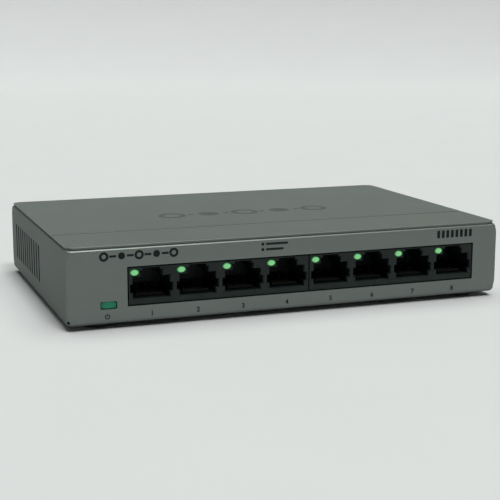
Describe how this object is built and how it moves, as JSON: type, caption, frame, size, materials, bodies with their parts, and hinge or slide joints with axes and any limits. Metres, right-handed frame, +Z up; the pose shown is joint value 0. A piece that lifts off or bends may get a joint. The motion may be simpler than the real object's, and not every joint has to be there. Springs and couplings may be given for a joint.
{
  "type": "desktop network switch",
  "caption": "Flat metal desktop network switch with a row of front sockets, green link lamps, a lit power window, side vents and rubber feet.",
  "frame": {"origin": "under the middle of the case, on the surface that the feet stand on", "axes": "+X to the right seen from the sockets, -Y is the front with the sockets, +Z up"},
  "size_m": [0.158, 0.105, 0.0276],
  "materials": {
    "grey_paint": "satin fine-textured powder coat",
    "black_plastic": "satin moulded plastic",
    "foot_rubber": "matte",
    "zinc_plate": "zinc plated",
    "nickel_plate": "nickel plated",
    "contact_gold": "gold plated",
    "lamp_green": "lit green lens",
    "power_green": "lit green lens",
    "clear_led": "clear moulded",
    "solder_mask": "green solder mask on glass fibre",
    "chip_epoxy": "moulded epoxy",
    "silicone_pad": "soft silicone",
    "plain_aluminium": "plain extruded",
    "can_sleeve": "shrunk sleeve",
    "ferrite": "matte ferrite",
    "label_film": "blank printed film"
  },
  "bodies": {
    "case": {"base_tray": "grey_paint", "top_cover": "grey_paint", "foot_front_left": "foot_rubber", "foot_front_right": "foot_rubber", "foot_rear_left": "foot_rubber", "foot_rear_right": "foot_rubber", "cover_screw_left": "zinc_plate", "cover_screw_right": "zinc_plate", "board_screw_1": "zinc_plate", "board_screw_2": "zinc_plate", "board_screw_3": "zinc_plate", "board_screw_4": "zinc_plate", "rating_label": "label_film", "main_board": "solder_mask", "jack_block_left": "black_plastic", "jack_block_right": "black_plastic", "port_1_lamp": "lamp_green", "port_2_lamp": "lamp_green", "port_3_lamp": "lamp_green", "port_4_lamp": "lamp_green", "port_5_lamp": "lamp_green", "port_6_lamp": "lamp_green", "port_7_lamp": "lamp_green", "port_8_lamp": "lamp_green", "power_lens": "power_green", "power_led": "clear_led", "dc_jack_body": "black_plastic", "dc_jack_pin": "nickel_plate", "transformer_1": "chip_epoxy", "transformer_2": "chip_epoxy", "transformer_3": "chip_epoxy", "transformer_4": "chip_epoxy", "switch_chip": "chip_epoxy", "thermal_pad": "silicone_pad", "heat_sink": "plain_aluminium", "crystal": "nickel_plate", "memory_chip": "chip_epoxy", "core_regulator": "chip_epoxy", "io_regulator": "chip_epoxy", "input_capacitor": "can_sleeve", "core_capacitor": "can_sleeve", "io_capacitor": "can_sleeve", "core_inductor": "ferrite", "io_inductor": "ferrite"},
    "port_1_springs": {"port_1_contacts": "contact_gold"},
    "port_2_springs": {"port_2_contacts": "contact_gold"},
    "port_3_springs": {"port_3_contacts": "contact_gold"},
    "port_4_springs": {"port_4_contacts": "contact_gold"},
    "port_5_springs": {"port_5_contacts": "contact_gold"},
    "port_6_springs": {"port_6_contacts": "contact_gold"},
    "port_7_springs": {"port_7_contacts": "contact_gold"},
    "port_8_springs": {"port_8_contacts": "contact_gold"},
    "inlet_leaf": {"dc_jack_spring": "nickel_plate"}
  },
  "joints": [
    {"name": "port_1_spring_flex", "type": "hinge", "parent": "case", "child": "port_1_springs", "pos_m": [-0.05065, -0.0493, 0.0102], "axis": [1, 0, 0], "range_deg": [-7, 0], "stiffness_Nm_per_rad": 0.02},
    {"name": "port_2_spring_flex", "type": "hinge", "parent": "case", "child": "port_2_springs", "pos_m": [-0.03478, -0.0493, 0.0102], "axis": [1, 0, 0], "range_deg": [-7, 0], "stiffness_Nm_per_rad": 0.02},
    {"name": "port_3_spring_flex", "type": "hinge", "parent": "case", "child": "port_3_springs", "pos_m": [-0.0189, -0.0493, 0.0102], "axis": [1, 0, 0], "range_deg": [-7, 0], "stiffness_Nm_per_rad": 0.02},
    {"name": "port_4_spring_flex", "type": "hinge", "parent": "case", "child": "port_4_springs", "pos_m": [-0.00303, -0.0493, 0.0102], "axis": [1, 0, 0], "range_deg": [-7, 0], "stiffness_Nm_per_rad": 0.02},
    {"name": "port_5_spring_flex", "type": "hinge", "parent": "case", "child": "port_5_springs", "pos_m": [0.01325, -0.0493, 0.0102], "axis": [1, 0, 0], "range_deg": [-7, 0], "stiffness_Nm_per_rad": 0.02},
    {"name": "port_6_spring_flex", "type": "hinge", "parent": "case", "child": "port_6_springs", "pos_m": [0.02912, -0.0493, 0.0102], "axis": [1, 0, 0], "range_deg": [-7, 0], "stiffness_Nm_per_rad": 0.02},
    {"name": "port_7_spring_flex", "type": "hinge", "parent": "case", "child": "port_7_springs", "pos_m": [0.045, -0.0493, 0.0102], "axis": [1, 0, 0], "range_deg": [-7, 0], "stiffness_Nm_per_rad": 0.02},
    {"name": "port_8_spring_flex", "type": "hinge", "parent": "case", "child": "port_8_springs", "pos_m": [0.06087, -0.0493, 0.0102], "axis": [1, 0, 0], "range_deg": [-7, 0], "stiffness_Nm_per_rad": 0.02},
    {"name": "inlet_leaf_flex", "type": "hinge", "parent": "case", "child": "inlet_leaf", "pos_m": [-0.059, 0.0366, 0.0097], "axis": [1, 0, 0], "range_deg": [-3.5, 0], "stiffness_Nm_per_rad": 0.05}
  ]
}
